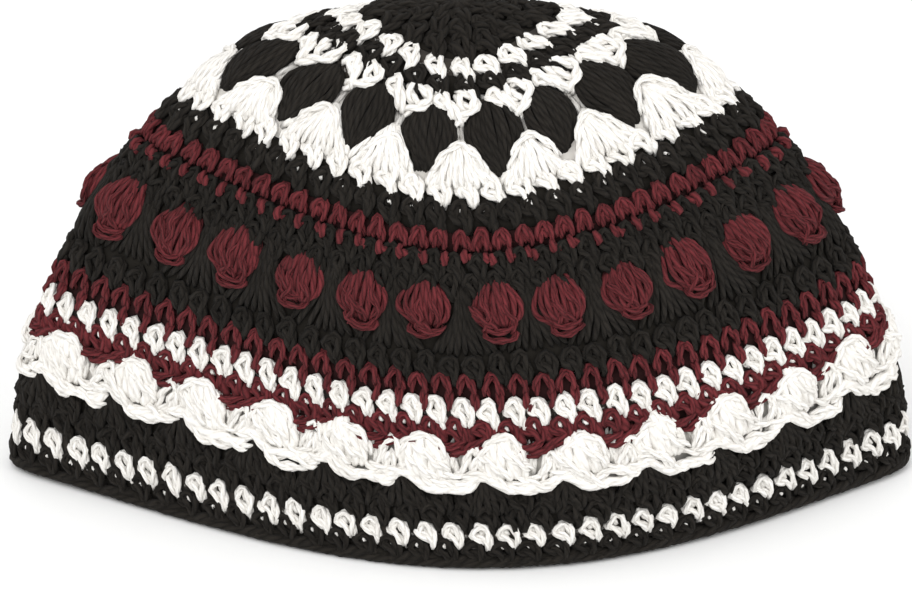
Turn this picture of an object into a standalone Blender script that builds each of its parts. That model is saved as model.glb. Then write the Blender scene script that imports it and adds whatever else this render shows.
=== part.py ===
"""A crocheted skullcap that stands on its rim, in metres, with +Z up and its front facing -Y.

The cap is a soft dome, flattened from front to back, so that its sides are folds and its mouth is
lens shaped. It is worked in rounds from the crown to the rim. Each round is a ring of fabric with
its place given as a share of the way down the dome, and one row of bobbles sits on the black band.
"""

import math
from dataclasses import dataclass
from typing import Callable

import bmesh
import bpy
import numpy as np
from mathutils import Matrix, Vector

# The dome
HALF_WIDTH = 0.1238
HALF_DEPTH = 0.0606
HEIGHT = 0.1413
WALL = 0.0045
GAP = 0.0003

FOLD_RADIUS = 0.0065

# How the sections swell from the crown down to the rim, as powers of sine and cosine
WIDTH_POWER = 0.82
DEPTH_POWER = 1.23
HEIGHT_POWER = 1.18
CROWN_FOLD = 1.25
RIM_FOLD = 2.58
FOLD_RISE = 0.6

# The front bulges a little to the right of the middle: angle, and its share by height
LEAN_ANGLE = 0.158
LEAN_HEIGHTS = (0.0, 0.3, 0.5, 0.72, 0.82, 1.0)
LEAN_SHARES = (0.0, 0.0, 0.8, 1.0, 1.0, 0.3)

# The rounds lie slightly lower over the folds than over the front: share of the way down
SAG_PLACES = (0.0, 0.13, 0.20, 0.31, 0.54, 0.71, 0.80, 1.0)
SAG_SHARES = (0.0, 0.022, 0.036, 0.038, 0.028, 0.026, 0.006, 0.0)

# Repeats
CROWN_STEPS = 38
FAN_REPEATS = 16
FAN_STEPS = 4
SHELL_REPEATS = 25
SHELL_STEPS = 3

# Edges of the rounds, as shares of the way down
CROWN_EDGE = 0.100
PUFF_EDGE = 0.283
SHELL_EDGE = 0.790
PEAK_EDGE = 0.858
BAND_TOP = 0.445
BAND_BOTTOM = 0.645

# Waves between two rounds, as shares of the way down
FAN_WAVE = 0.030
SHELL_WAVE = 0.014
PEAK_WAVE = 0.008

# Where in its repeat a wave is highest
SHELL_PLACE = 0.5
PEAK_PLACE = 0.31

# How far the fullest stitches stand out
RELIEF = 0.0010

# Ribs of the crown disc: place as a share of the disc, height as a share of the relief
CROWN_RIBS = ((0.30, 0.6), (0.55, -0.2), (0.80, 0.6), (1.0, 0.0))
CROWN_HOLLOW = 0.5

# The black band, with a shallow channel where the bobbles sit
BOBBLE_ROW_TOP = 0.499
BOBBLE_ROW_BOTTOM = 0.588
BOBBLE_RECESS = 0.0012
BAND_RAMP = 0.004
STEP_CHANGE = 0.0005

# One bobble
BOBBLE_WIDTH = 0.0134
BOBBLE_HEIGHT = 0.0158
BOBBLE_THICKNESS = 0.0050
BOBBLE_TAPER = 0.28
BOBBLE_SIDES = 8
BOBBLE_RINGS = 5

QUARTER = math.pi / 2
THETA_STEPS = 720
PHI_STEPS = 120
SHARE_STEPS = 200

YARNS = {
    "black": (0.013, 0.012, 0.011),
    "white": (0.86, 0.84, 0.79),
    "maroon": (0.20, 0.012, 0.028),
}
YARN_ROUGHNESS = 0.85

Edge = Callable[[float], float]


@dataclass(frozen=True)
class Round:
    """One ring of fabric: yarn, edges as shares of the way down, steps, and its share of the relief."""

    name: str
    yarn: str
    top: Edge
    bottom: Edge
    steps: int
    raised: float


class Dome:
    """The outer face of the cap, read by turn (a share around) and by share (of the way down)."""

    def __init__(self) -> None:
        theta = np.linspace(-math.pi, math.pi, THETA_STEPS + 1)
        phi = np.linspace(0.0, QUARTER, PHI_STEPS + 1)
        grid = self.meridians(theta, phi)
        self.shares = np.linspace(0.0, 1.0, SHARE_STEPS + 1)
        rows = self.even_rounds(grid, theta)
        self.points = self.even_turns(rows, theta)
        self.normals = self.find_normals()

    @staticmethod
    def meridians(theta: np.ndarray, phi: np.ndarray) -> np.ndarray:
        """Points of each meridian, from the crown to the rim."""
        level = phi / QUARTER
        fold = CROWN_FOLD + (RIM_FOLD - CROWN_FOLD) * level**FOLD_RISE
        lean = LEAN_ANGLE * np.interp(level, LEAN_HEIGHTS, LEAN_SHARES)
        reach = HALF_WIDTH * np.sin(phi) ** WIDTH_POWER
        bulge = HALF_DEPTH * np.sin(phi) ** DEPTH_POWER
        rounding = np.minimum(1.0, FOLD_RADIUS * reach / np.maximum(bulge, 1e-6) ** 2)
        straight = np.cos(theta)[:, None]
        facing = np.cos(theta[:, None] - lean * straight * (straight > 0.0))
        sharp = np.abs(facing) ** (2 * fold)
        depth = np.sign(facing) * np.sqrt(sharp + rounding * facing**2 * (1 - facing**2))
        wide = reach * np.sin(theta)[:, None]
        deep = -bulge * depth
        tall = HEIGHT * np.abs(np.cos(phi)) ** HEIGHT_POWER * np.ones_like(depth)
        tall[:, -1] = 0.0
        return np.stack([wide, deep, tall], axis=-1)

    def even_rounds(self, grid: np.ndarray, theta: np.ndarray) -> np.ndarray:
        """Points of each meridian again, at even shares of its length, with the rounds' sag."""
        sag = np.interp(self.shares, SAG_PLACES, SAG_SHARES)
        rows = np.empty((len(theta), len(self.shares), 3))
        for index, line in enumerate(grid):
            length = np.concatenate([[0.0], np.cumsum(np.linalg.norm(np.diff(line, axis=0), axis=1))])
            wanted = (self.shares + sag * math.sin(theta[index]) ** 2) * length[-1]
            for axis in range(3):
                rows[index, :, axis] = np.interp(wanted, length, line[:, axis])
        return rows

    @staticmethod
    def even_turns(rows: np.ndarray, theta: np.ndarray) -> np.ndarray:
        """The same rounds with their points evenly spaced around, from the front and back again."""
        start = len(theta) // 2
        around = np.concatenate([rows[start:-1], rows[: start + 1]])
        even = np.linspace(0.0, 1.0, len(theta))
        for column in range(1, around.shape[1]):
            ring = around[:, column].copy()
            length = np.concatenate([[0.0], np.cumsum(np.linalg.norm(np.diff(ring, axis=0), axis=1))])
            for axis in range(3):
                around[:, column, axis] = np.interp(even * length[-1], length, ring[:, axis])
        return around

    def find_normals(self) -> np.ndarray:
        """Outward normals of the whole face."""
        wrapped = np.concatenate([self.points[-2:-1], self.points, self.points[1:2]])
        along = (wrapped[2:] - wrapped[:-2])
        down = np.gradient(self.points, axis=1)
        normals = np.cross(down, along)
        normals[:, 0] = (0.0, 0.0, 1.0)
        return normals / np.linalg.norm(normals, axis=2, keepdims=True)

    def read(self, table: np.ndarray, turn: float, share: float) -> np.ndarray:
        """The table's value between its four nearest entries."""
        across = (turn % 1.0) * THETA_STEPS
        down = min(max(share, 0.0), 1.0) * SHARE_STEPS
        i = min(int(across), THETA_STEPS - 1)
        j = min(int(down), SHARE_STEPS - 1)
        a = across - i
        b = down - j
        near = table[i, j] * (1 - a) + table[i + 1, j] * a
        far = table[i, j + 1] * (1 - a) + table[i + 1, j + 1] * a
        return near * (1 - b) + far * b

    def normal(self, turn: float, share: float) -> Vector:
        """The outward direction at a place on the cap."""
        return Vector(self.read(self.normals, turn, share)).normalized()

    def point(self, turn: float, share: float, raised: float = 0.0) -> Vector:
        """A place on the cap, raised above the outer face or, if negative, under it."""
        normal = self.normal(turn, share)
        if share >= 1.0:
            normal = Vector((normal.x, normal.y, 0.0)).normalized()
        return Vector(self.read(self.points, turn, share)) + normal * raised


def level(share: float) -> Edge:
    """An edge that runs straight around the cap."""
    return lambda turn: share


def zigzag(share: float, wave: float, repeats: int) -> Edge:
    """An edge that rises to a point once in each repeat and dips to a point between."""

    def edge(turn: float) -> float:
        phase = (turn * repeats) % 1.0
        return share + wave * (1 - 2 * abs(1 - 2 * phase))

    return edge


def scallop(share: float, wave: float, repeats: int, place: float) -> Edge:
    """An edge that rises in one round arch in each repeat, highest at this place in it."""

    def edge(turn: float) -> float:
        return share - wave * math.cos(math.tau * (turn * repeats - place))

    return edge


def yarn_material(name: str, yarn: str) -> bpy.types.Material:
    """A matt material in the colour of the yarn."""
    material = bpy.data.materials.new(name)
    material.use_nodes = True
    shader = material.node_tree.nodes["Principled BSDF"]
    shader.inputs["Base Color"].default_value = (*YARNS[yarn], 1.0)
    shader.inputs["Roughness"].default_value = YARN_ROUGHNESS
    shader.inputs["Metallic"].default_value = 0.0
    return material


def new_object(name: str, yarn: str, shape: bmesh.types.BMesh,
               home: bpy.types.Collection) -> bpy.types.Object:
    """Turns a bmesh into a named object of one yarn."""
    mesh = bpy.data.meshes.new(name)
    bmesh.ops.recalc_face_normals(shape, faces=shape.faces)
    shape.to_mesh(mesh)
    shape.free()
    mesh.shade_smooth()
    mesh.set_sharp_from_angle(angle=math.radians(40))
    mesh.materials.append(yarn_material(f"{name}_{yarn}_yarn", yarn))
    piece = bpy.data.objects.new(name, mesh)
    home.objects.link(piece)
    return piece


def loft(sections: list[list[Vector]]) -> bmesh.types.BMesh:
    """Joins closed sections into a closed ring.

    A section runs down its outer face and back up its inner face. The last edge is the top one, and
    every face is split from the outer corner here to the inner corner of the next section, so that
    the faces of two rounds that meet are split alike.
    """
    shape = bmesh.new()
    rows = [[shape.verts.new(corner) for corner in section] for section in sections]
    for here, after in zip(rows, rows[1:] + rows[:1]):
        for corner in range(len(here)):
            following = (corner + 1) % len(here)
            a, b, c, d = here[corner], here[following], after[following], after[corner]
            if following:
                shape.faces.new((a, b, c))
                shape.faces.new((a, c, d))
            else:
                shape.faces.new((a, b, d))
                shape.faces.new((b, c, d))
    return shape


def share_gap(dome: Dome, turn: float, share: float) -> float:
    """Half the gap between two rounds, as a share of the way down at this place."""
    step = 0.5 / SHARE_STEPS
    above = dome.read(dome.points, turn, share - step)
    below = dome.read(dome.points, turn, share + step)
    return GAP / 2 * 2 * step / float(np.linalg.norm(below - above))


def add_round(dome: Dome, ring: Round, home: bpy.types.Collection) -> None:
    """Makes one plain or waved round with four corners to its section."""
    sections = []
    for index in range(ring.steps):
        turn = index / ring.steps
        top = ring.top(turn)
        bottom = ring.bottom(turn)
        top += share_gap(dome, turn, top)
        if bottom < 1.0:
            bottom -= share_gap(dome, turn, bottom)
        raised = RELIEF * ring.raised
        places = ((top, raised), (bottom, raised), (bottom, -WALL), (top, -WALL))
        sections.append([dome.point(turn, share, raised) for share, raised in places])
    new_object(ring.name, ring.yarn, loft(sections), home)


def add_crown(dome: Dome, name: str, yarn: str, edge: float, home: bpy.types.Collection) -> None:
    """Makes the disc in the middle of the crown, with ribs where its rounds are worked."""
    outer = [(edge * share, RELIEF * raised) for share, raised in CROWN_RIBS]
    shape = bmesh.new()
    rows = []
    for share, raised in [*outer, (edge, -WALL), (edge * CROWN_HOLLOW, -WALL)]:
        row = []
        for index in range(CROWN_STEPS):
            turn = index / CROWN_STEPS
            place = share - share_gap(dome, turn, share) if share == edge else share
            row.append(shape.verts.new(dome.point(turn, place, raised)))
        rows.append(row)
    for above, below in zip(rows, rows[1:]):
        for index in range(CROWN_STEPS):
            after = (index + 1) % CROWN_STEPS
            shape.faces.new((above[index], below[index], below[after], above[after]))
    for row, depth in ((rows[0], 0.0), (rows[-1], -WALL)):
        middle = shape.verts.new((0.0, 0.0, HEIGHT + depth))
        for index in range(CROWN_STEPS):
            after = (index + 1) % CROWN_STEPS
            corners = (middle, row[index], row[after])
            shape.faces.new(corners if depth == 0.0 else corners[::-1])
    new_object(name, yarn, shape, home)


def add_bobble_band(dome: Dome, name: str, yarn: str, top: float, bottom: float,
                    home: bpy.types.Collection) -> None:
    """Makes the black band, sunk in a shallow channel where the bobbles sit."""
    steps = SHELL_REPEATS * SHELL_STEPS
    sections = []
    for index in range(steps):
        turn = index / steps
        upper = top + share_gap(dome, turn, top)
        lower = bottom - share_gap(dome, turn, bottom)
        places = (
            (upper, 0.0),
            (BOBBLE_ROW_TOP - BAND_RAMP, 0.0),
            (BOBBLE_ROW_TOP, -BOBBLE_RECESS),
            (BOBBLE_ROW_BOTTOM, -BOBBLE_RECESS),
            (BOBBLE_ROW_BOTTOM + BAND_RAMP, 0.0),
            (lower, 0.0),
            (lower, -WALL),
            (upper, -WALL),
        )
        sections.append([dome.point(turn, share, raised) for share, raised in places])
    new_object(name, yarn, loft(sections), home)


def add_bobbles(dome: Dome, yarn: str, home: bpy.types.Collection) -> None:
    """Makes the row of bobbles, each a flattened ball that narrows to its foot.

    A bobble sits on the flat between two of the band's sections.
    """
    row = (BOBBLE_ROW_TOP + BOBBLE_ROW_BOTTOM) / 2
    for index in range(SHELL_REPEATS):
        turn = (index + 0.5) / SHELL_REPEATS
        shape = bmesh.new()
        bmesh.ops.create_uvsphere(shape, u_segments=BOBBLE_SIDES, v_segments=BOBBLE_RINGS, radius=0.5)
        for vert in shape.verts:
            narrow = 1 - BOBBLE_TAPER * max(0.0, -2 * vert.co.z)
            vert.co.x *= BOBBLE_WIDTH * narrow
            vert.co.y *= BOBBLE_THICKNESS
            vert.co.z *= BOBBLE_HEIGHT
        piece = new_object(f"bobble_{index + 1:02d}", yarn, shape, home)
        out = dome.normal(turn, row)
        up = (dome.point(turn, row - 0.02) - dome.point(turn, row + 0.02)).normalized()
        across = out.cross(up).normalized()
        up = across.cross(out)
        half_step = 0.5 / (SHELL_REPEATS * SHELL_STEPS)
        sides = [dome.point(turn + side, row, -BOBBLE_RECESS) for side in (-half_step, half_step)]
        seat = (sides[0] + sides[1]) / 2 + out * (GAP + BOBBLE_THICKNESS / 2)
        turned = Matrix((across, -out, up)).transposed().to_4x4()
        piece.matrix_world = Matrix.Translation(seat) @ turned


def rounds() -> list[Round]:
    """The plain and waved rounds, from the crown to the rim."""
    fans = FAN_REPEATS * FAN_STEPS
    shells = SHELL_REPEATS * SHELL_STEPS
    fan_edge = zigzag(PUFF_EDGE, FAN_WAVE, FAN_REPEATS)
    shell_edge = scallop(SHELL_EDGE, SHELL_WAVE, SHELL_REPEATS, SHELL_PLACE)
    peak_edge = scallop(PEAK_EDGE, PEAK_WAVE, SHELL_REPEATS, PEAK_PLACE)
    return [
        Round("white_round_1", "white", level(CROWN_EDGE), level(0.142), CROWN_STEPS, 0.4),
        Round("black_round_1", "black", level(0.142), level(0.167), CROWN_STEPS, 0.0),
        Round("white_pair_round", "white", level(0.167 + STEP_CHANGE), level(0.218), fans, 0.4),
        Round("puff_round", "black", level(0.218), fan_edge, fans, 1.0),
        Round("fan_round", "white", fan_edge, level(0.345), fans, 0.6),
        Round("black_round_2", "black", level(0.345), level(0.393), fans, 0.0),
        Round("maroon_round_1", "maroon", level(0.393), level(BAND_TOP), fans, 0.4),
        Round("maroon_round_2", "maroon", level(BAND_BOTTOM), level(0.690), shells, 0.4),
        Round("white_round_2", "white", level(0.690), level(0.738), shells, 0.6),
        Round("maroon_round_3", "maroon", level(0.738), shell_edge, shells, 0.4),
        Round("shell_round", "white", shell_edge, peak_edge, shells, 1.0),
        Round("black_round_3", "black", peak_edge, level(0.910), shells, 0.0),
        Round("white_round_3", "white", level(0.910), level(0.956), shells, 0.6),
        Round("black_round_4", "black", level(0.956), level(0.982), shells, 0.0),
        Round("rim_chain", "black", level(0.982), level(1.0), shells, 0.6),
    ]


def main() -> None:
    """Clears the scene and makes the cap."""
    for old in list(bpy.data.objects):
        bpy.data.objects.remove(old, do_unlink=True)
    home = bpy.data.collections.new("crocheted_skullcap")
    bpy.context.scene.collection.children.link(home)
    dome = Dome()
    add_crown(dome, "crown_disc", "black", CROWN_EDGE, home)
    for ring in rounds():
        add_round(dome, ring, home)
    add_bobble_band(dome, "bobble_band", "black", BAND_TOP + STEP_CHANGE, BAND_BOTTOM, home)
    add_bobbles(dome, "maroon", home)


main()
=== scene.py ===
"""Dresses the crocheted skullcap: each round is worked in strands of yarn over the cap's own surface."""

import logging
import math
from dataclasses import dataclass, field
from enum import Enum

import bpy
import numpy as np
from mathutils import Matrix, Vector


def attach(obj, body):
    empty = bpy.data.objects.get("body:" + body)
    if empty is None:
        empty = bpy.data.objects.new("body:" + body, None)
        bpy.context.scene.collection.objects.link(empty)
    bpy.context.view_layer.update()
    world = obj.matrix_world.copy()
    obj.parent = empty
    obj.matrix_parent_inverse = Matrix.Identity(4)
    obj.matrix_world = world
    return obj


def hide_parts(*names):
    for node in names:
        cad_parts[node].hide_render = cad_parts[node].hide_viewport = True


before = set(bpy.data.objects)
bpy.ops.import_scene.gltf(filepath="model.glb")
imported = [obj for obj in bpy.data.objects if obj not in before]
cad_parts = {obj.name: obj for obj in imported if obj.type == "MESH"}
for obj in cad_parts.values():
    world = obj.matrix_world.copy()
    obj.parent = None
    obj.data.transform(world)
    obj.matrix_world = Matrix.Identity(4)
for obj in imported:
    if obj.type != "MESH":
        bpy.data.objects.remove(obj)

LOG = logging.getLogger("skullcap")
BODY = "root"
BOBBLES = 25
MM = 0.001
TINY = 1e-12

# What every strand's mesh carries for its material
STRAND_MAP = "strand"
# How much painted shade each point takes, darkest in the wall's middle
PAINTED_SHADE = "painted_shade_depth"
SHADE = "shade"

# A strand's way through one stitch. Columns: across (stitches), up (rows), out (millimetres)
Path = tuple[tuple[float, float, float], ...]
Colour = tuple[float, float, float, float]


class Slot(Enum):
    """The record's material slots."""

    BLACK = "black_yarn"
    WHITE = "white_yarn"
    MAROON = "maroon_yarn"


@dataclass(frozen=True)
class DomeShape:
    """The sizes of the cap's outer face, as in the cap's construction."""

    half_width: float = 0.1238
    half_depth: float = 0.0606
    height: float = 0.1413
    fold_radius: float = 0.0065
    width_power: float = 0.82
    painted_shade_power: float = 1.23
    height_power: float = 1.18
    crown_fold: float = 1.25
    rim_fold: float = 2.58
    fold_rise: float = 0.6
    lean_angle: float = 0.158
    lean_heights: tuple[float, ...] = (0.0, 0.3, 0.5, 0.72, 0.82, 1.0)
    lean_shares: tuple[float, ...] = (0.0, 0.0, 0.8, 1.0, 1.0, 0.3)
    sag_places: tuple[float, ...] = (0.0, 0.13, 0.20, 0.31, 0.54, 0.71, 0.80, 1.0)
    sag_shares: tuple[float, ...] = (0.0, 0.022, 0.036, 0.038, 0.028, 0.026, 0.006, 0.0)
    drop_past_rim: float = 0.17


def lengths(points: np.ndarray) -> np.ndarray:
    """How far along its line each point lies."""
    step = np.linalg.norm(np.diff(points, axis=-2), axis=-1)
    return np.concatenate([np.zeros((*step.shape[:-1], 1)), np.cumsum(step, axis=-1)], axis=-1)


def resample(line: np.ndarray, shares: np.ndarray) -> np.ndarray:
    """Points at shares of a line's length."""
    length = lengths(line)
    return np.stack([np.interp(shares * length[-1], length, values) for values in line.T], axis=-1)


def smooth_path(path: Path, count: int) -> np.ndarray:
    """Samples a smooth curve through a strand's points.

    Args:
        path: the points.
        count: how many samples.

    Returns:
        An array of count by 3.
    """
    points = np.array(path, float)
    ends = np.concatenate([2 * points[:1] - points[1:2], points, 2 * points[-1:] - points[-2:-1]])
    place = np.linspace(0.0, len(points) - 1.0, count)
    i = np.minimum(place.astype(int), len(points) - 2)
    f = (place - i)[:, None]
    a, b, c, d = ends[i], ends[i + 1], ends[i + 2], ends[i + 3]
    cubic = (3 * (b - c) + d - a) * f**3 + (2 * a - 5 * b + 4 * c - d) * f**2 + (c - a) * f
    return b + 0.5 * cubic


class Fabric:
    """The outer face of the cap, read by turn (a share around) and share (of the way down)."""

    THETA_STEPS = 720
    PHI_STEPS = 120
    SHARE_STEPS = 200

    def __init__(self, shape: DomeShape) -> None:
        """Works out the tables of points and normals.

        Args:
            shape: the sizes of the cap.
        """
        self.shape = shape
        theta = np.linspace(-math.pi, math.pi, self.THETA_STEPS + 1)
        self.points = self._even(self._meridians(theta), theta)
        self.normals = self._find_normals()

    def _meridians(self, theta: np.ndarray) -> np.ndarray:
        """Points of each meridian from crown to rim.

        Args:
            theta: angles around the cap.

        Returns:
            An array of theta by steps down by 3.
        """
        s = self.shape
        phi = np.linspace(0.0, math.pi / 2, self.PHI_STEPS + 1)
        level = phi / (math.pi / 2)
        fold = s.crown_fold + (s.rim_fold - s.crown_fold) * level**s.fold_rise
        lean = s.lean_angle * np.interp(level, s.lean_heights, s.lean_shares)
        reach = s.half_width * np.sin(phi) ** s.width_power
        bulge = s.half_depth * np.sin(phi) ** s.painted_shade_power
        rounding = np.minimum(1.0, s.fold_radius * reach / np.maximum(bulge, TINY) ** 2)
        straight = np.cos(theta)[:, None]
        facing = np.cos(theta[:, None] - lean * straight * (straight > 0.0))
        sharp = np.abs(facing) ** (2 * fold)
        depth = np.sign(facing) * np.sqrt(sharp + rounding * facing**2 * (1 - facing**2))
        tall = s.height * np.abs(np.cos(phi)) ** s.height_power * np.ones_like(depth)
        tall[:, -1] = 0.0
        return np.stack([reach * np.sin(theta)[:, None], -bulge * depth, tall], axis=-1)

    def _even(self, grid: np.ndarray, theta: np.ndarray) -> np.ndarray:
        """The face at even shares down, with the rounds' sag, and evenly around from front to front.

        Args:
            grid: points of the meridians.
            theta: their angles.

        Returns:
            An array of turn by share by 3.
        """
        shares = np.linspace(0.0, 1.0, self.SHARE_STEPS + 1)
        sag = np.interp(shares, self.shape.sag_places, self.shape.sag_shares)
        rows = np.stack([resample(line, shares + sag * math.sin(angle) ** 2)
                         for line, angle in zip(grid, theta)])
        front = len(rows) // 2
        around = np.concatenate([rows[front:-1], rows[: front + 1]])
        even = np.linspace(0.0, 1.0, len(rows))
        for column in range(1, around.shape[1]):
            around[:, column] = resample(around[:, column], even)
        return around

    def _find_normals(self) -> np.ndarray:
        """Finds the face's outward directions.

        Returns:
            A direction for each point.
        """
        wrapped = np.concatenate([self.points[-2:-1], self.points, self.points[1:2]])
        normals = np.cross(np.gradient(self.points, axis=1), wrapped[2:] - wrapped[:-2])
        normals[:, 0] = (0.0, 0.0, 1.0)
        return normals / np.linalg.norm(normals, axis=2, keepdims=True)

    def _read(self, table: np.ndarray, turn: np.ndarray, share: np.ndarray) -> np.ndarray:
        """Values of a table between its entries.

        Args:
            table: the table to read.
            turn: shares around.
            share: shares of the way down.

        Returns:
            One value for each place.
        """
        across = (turn % 1.0) * self.THETA_STEPS
        down = np.clip(share, 0.0, 1.0) * self.SHARE_STEPS
        i = np.minimum(across.astype(int), self.THETA_STEPS - 1)
        j = np.minimum(down.astype(int), self.SHARE_STEPS - 1)
        a = (across - i)[..., None]
        b = (down - j)[..., None]
        near = table[i, j] * (1 - a) + table[i + 1, j] * a
        far = table[i, j + 1] * (1 - a) + table[i + 1, j + 1] * a
        return near * (1 - b) + far * b

    def place(self, turn: np.ndarray, share: np.ndarray, out: np.ndarray) -> np.ndarray:
        """Points over the cap.

        Args:
            turn: shares around.
            share: shares of the way down.
            out: heights above the outer face, in metres.

        Returns:
            The points, with a last axis of 3.
        """
        normal = self._read(self.normals, turn, share)
        normal /= np.linalg.norm(normal, axis=-1, keepdims=True)
        points = self._read(self.points, turn, share) + normal * out[..., None]
        points[..., 2] -= np.maximum(share - 1.0, 0.0) * self.shape.drop_past_rim
        return points


@dataclass(frozen=True)
class Yarn:
    """How a strand is made: half its thickness, the points along it, its sides and its plies."""

    radius_mm: float
    samples: int = 13
    sides: int = 5
    plies: int = 1


@dataclass
class StrandMesh:
    """Collects strands as tubes and makes them one mesh."""

    twist_length: float = 0.011
    ply_offset: float = 0.52
    ply_thickness: float = 0.64
    end_thickness: float = 0.45
    neck_thickness: float = 0.85
    lumps: float = 0.06
    wrinkles: float = 0.04
    shade_spread: float = 0.13
    map_shift_mm: float = 1.37
    square_to: tuple[float, float, float] = (0.31, 0.87, 0.38)
    points: list[np.ndarray] = field(default_factory=list)
    corners: list[np.ndarray] = field(default_factory=list)
    totals: list[np.ndarray] = field(default_factory=list)
    uvs: list[np.ndarray] = field(default_factory=list)
    painted_shades: list[np.ndarray] = field(default_factory=list)
    shades: list[np.ndarray] = field(default_factory=list)
    chance: np.random.Generator = field(default_factory=lambda: np.random.default_rng(7))
    used: int = 0

    def _frames(self, lines: np.ndarray) -> tuple[np.ndarray, np.ndarray]:
        """Two directions square to each line, carried along it without turning.

        Args:
            lines: centre lines, as strands by points by 3.

        Returns:
            Both directions at every point.
        """
        tangents = np.gradient(lines, axis=1)
        tangents /= np.linalg.norm(tangents, axis=2, keepdims=True) + TINY
        start = np.cross(tangents[:, 0], self.square_to)
        across = np.empty_like(lines)
        across[:, 0] = start / np.linalg.norm(start, axis=1, keepdims=True)
        for step in range(1, lines.shape[1]):
            carried = across[:, step - 1]
            along = tangents[:, step]
            carried = carried - along * np.sum(carried * along, axis=1, keepdims=True)
            across[:, step] = carried / np.linalg.norm(carried, axis=1, keepdims=True)
        return across, np.cross(tangents, across)

    def add_yarn(self, lines: np.ndarray, depth: np.ndarray, yarn: Yarn) -> None:
        """Adds a yarn for each line: one tube, or a few that wind around each other.

        Args:
            lines: centre lines, as strands by points by 3.
            depth: how much painted shade each point takes, from 0 to 1.
            yarn: how the strands are made.
        """
        radius = yarn.radius_mm * MM
        if yarn.plies == 1:
            self._add_tubes(lines, depth, radius, yarn.sides)
            return
        across, upward = self._frames(lines)
        start = self.chance.random((len(lines), 1))
        for ply in range(yarn.plies):
            turns = lengths(lines) / self.twist_length + start + ply / yarn.plies
            angle = 2 * math.pi * turns[..., None]
            shift = (across * np.cos(angle) + upward * np.sin(angle)) * radius * self.ply_offset
            self._add_tubes(lines + shift, depth, radius * self.ply_thickness, yarn.sides)

    def _add_tubes(self, lines: np.ndarray, depth: np.ndarray, radius: float, sides: int) -> None:
        """Adds one tube for each line, with narrowed and closed ends.

        Args:
            lines: centre lines, as strands by points by 3.
            depth: how much painted shade each point takes, from 0 to 1.
            radius: half the tube's thickness.
            sides: sides of the tube.
        """
        strands, count = lines.shape[:2]
        across, upward = self._frames(lines)
        angle = np.arange(sides) * (2 * math.pi / sides)
        taper = np.ones(count)
        taper[[0, -1]] = self.end_thickness
        taper[[1, -2]] = self.neck_thickness
        ring = across[:, :, None] * np.cos(angle)[:, None] + upward[:, :, None] * np.sin(angle)[:, None]
        uneven = 1 + self.lumps * self.chance.standard_normal((strands, count, 1))
        uneven = uneven + self.wrinkles * self.chance.standard_normal((strands, count, sides))
        thick = radius * taper[None, :, None] * uneven
        self.points.append((lines[:, :, None] + ring * thick[..., None]).reshape(-1, 3))
        self.painted_shades.append(np.repeat(depth.reshape(-1), sides))
        self.shades.append(np.repeat(self.chance.normal(1.0, self.shade_spread, strands), count * sides))
        self._add_faces(lines, sides)
        self.used += strands * count * sides

    def _add_faces(self, lines: np.ndarray, sides: int) -> None:
        """Adds the tubes' side and end faces and their place along and around the strand.

        Args:
            lines: centre lines, as strands by points by 3.
            sides: sides of a tube.
        """
        strands, count = lines.shape[:2]
        n, m, s = np.meshgrid(np.arange(strands), np.arange(count - 1), np.arange(sides), indexing="ij")
        following = (s + 1) % sides
        base = self.used + (n * count + m) * sides
        quads = np.stack([base + s, base + following, base + sides + following, base + sides + s], axis=-1)
        length = lengths(lines) / MM + np.arange(strands)[:, None] * self.map_shift_mm
        near = length[n, m]
        far = length[n, m + 1]
        left = s / sides
        right = (s + 1) / sides
        uv = np.stack([near, left, near, right, far, right, far, left], axis=-1)
        self._keep_faces(quads.reshape(-1, 4), uv.reshape(-1, 2))
        first = self.used + np.arange(strands)[:, None] * count * sides
        self._keep_faces(first + np.arange(sides)[::-1])
        self._keep_faces(first + (count - 1) * sides + np.arange(sides))

    def _keep_faces(self, faces: np.ndarray, uv: np.ndarray | None = None) -> None:
        """Keeps faces with as many corners each.

        Args:
            faces: corners, as faces by corners.
            uv: their place on the strand's map, or none for its start.
        """
        self.corners.append(faces.reshape(-1))
        self.totals.append(np.full(len(faces), faces.shape[1]))
        self.uvs.append(np.zeros((faces.size, 2)) if uv is None else uv)

    def add_sheet(self, grid: np.ndarray, depth: float) -> None:
        """Adds a closed band from a grid of sections.

        Args:
            grid: corners, as turns by corners of the section by 3.
            depth: how much painted shade it takes.
        """
        turns, corners = grid.shape[:2]
        n, m = np.meshgrid(np.arange(turns), np.arange(corners), indexing="ij")
        after = (n + 1) % turns
        following = (m + 1) % corners
        quads = np.stack([n * corners + m, n * corners + following,
                          after * corners + following, after * corners + m], axis=-1) + self.used
        self._keep_faces(quads.reshape(-1, 4))
        self.points.append(grid.reshape(-1, 3))
        self.painted_shades.append(np.full(turns * corners, depth))
        self.shades.append(np.ones(turns * corners))
        self.used += turns * corners

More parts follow.
